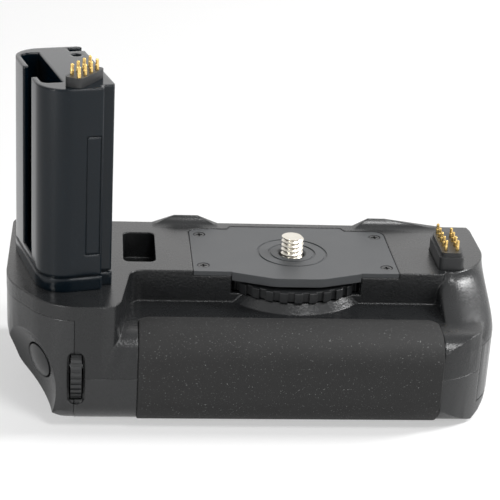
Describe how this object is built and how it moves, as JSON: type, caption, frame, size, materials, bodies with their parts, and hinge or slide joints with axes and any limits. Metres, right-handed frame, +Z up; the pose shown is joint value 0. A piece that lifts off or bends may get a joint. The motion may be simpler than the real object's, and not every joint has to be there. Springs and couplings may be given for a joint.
{
  "type": "camera battery grip",
  "caption": "Vertical battery grip for a camera: battery-chamber tower with sprung contacts, attaching screw and thumbwheel, rubber hand grip, slide-out cell holder.",
  "frame": {"origin": "on the attaching screw's axis, in the base plane, at the mouth of the tripod socket", "axes": "+X towards the battery holder's end, +Y away from the hand grip, +Z up along the attaching screw"},
  "size_m": [0.1366, 0.0663, 0.0981],
  "materials": {
    "housing_black": "fine moulded grain",
    "cover_black": "satin",
    "plate_black": "matte paint",
    "screw_black": "black oxide",
    "wheel_black": "satin",
    "nickel_steel": "nickel plated",
    "spring_steel": "plain",
    "tower_gloss": "smooth gloss",
    "contact_black": "matte",
    "gold": "gold plated",
    "board_green": "lacquered",
    "grip_rubber": "matte with fine speckle",
    "button_black": "semi gloss",
    "switch_grey": "plain",
    "dial_black": "ribbed",
    "holder_grey": "satin",
    "cell_steel": "bare jacket"
  },
  "bodies": {
    "housing": {"upper_housing": "housing_black", "lower_cover": "cover_black", "shutter_end_cover": "cover_black", "mounting_plate": "plate_black", "plate_screws": "screw_black", "wheel_washer": "spring_steel", "tower_shell": "tower_gloss", "tower_cover": "tower_gloss", "tower_collar": "tower_gloss", "tower_screw": "screw_black", "tower_contact_block": "contact_black", "deck_contact_block": "contact_black", "circuit_board": "board_green", "rubber_grip": "grip_rubber", "shutter_switch": "switch_grey", "front_dial_axle": "spring_steel", "rear_dial_axle": "spring_steel", "rear_switch": "switch_grey", "tripod_socket": "nickel_steel", "housing_screws": "screw_black"},
    "wheel": {"attach_wheel": "wheel_black", "attach_screw": "nickel_steel"},
    "front_dial_body": {"front_dial": "dial_black"},
    "rear_dial_body": {"rear_dial": "dial_black"},
    "shutter": {"shutter_button": "button_black"},
    "rear_button_body": {"rear_button": "button_black"},
    "tower_pins": {"tower_contact_pins": "gold"},
    "deck_pins": {"deck_contact_pins": "gold"},
    "holder": {"battery_holder": "holder_grey", "holder_cap": "cover_black", "battery_cells": "cell_steel", "cell_contacts": "spring_steel"},
    "latch": {"holder_latch": "button_black"}
  },
  "joints": [
    {"name": "wheel_turn", "type": "hinge", "parent": "housing", "child": "wheel", "pos_m": [0, 0, 0.0315], "axis": [0, 0, 1], "continuous": true},
    {"name": "front_dial_turn", "type": "hinge", "parent": "housing", "child": "front_dial_body", "pos_m": [-0.0605, -0.0307, 0.0155], "axis": [1, 0, 0], "continuous": true},
    {"name": "rear_dial_turn", "type": "hinge", "parent": "housing", "child": "rear_dial_body", "pos_m": [-0.0662, 0.0184, 0.0146], "axis": [1, 0, 0], "continuous": true},
    {"name": "shutter_press", "type": "slide", "parent": "housing", "child": "shutter", "axis": [0.8174, 0.541, 0.1977], "range_m": [0, 0.0012], "stiffness_N_per_m": 900},
    {"name": "rear_button_press", "type": "slide", "parent": "housing", "child": "rear_button_body", "axis": [0, -1, 0], "range_m": [0, 0.0009], "stiffness_N_per_m": 900},
    {"name": "tower_pins_press", "type": "slide", "parent": "housing", "child": "tower_pins", "axis": [0, 0, -1], "range_m": [0, 0.001], "stiffness_N_per_m": 900},
    {"name": "deck_pins_press", "type": "slide", "parent": "housing", "child": "deck_pins", "axis": [0, 0, -1], "range_m": [0, 0.001], "stiffness_N_per_m": 900},
    {"name": "holder_slide", "type": "slide", "parent": "housing", "child": "holder", "axis": [1, 0, 0], "range_m": [0, 0.108]},
    {"name": "latch_turn", "type": "hinge", "parent": "holder", "child": "latch", "pos_m": [0.056, -0.01, 0.0165], "axis": [1, 0, 0], "range_deg": [0, 90]}
  ]
}
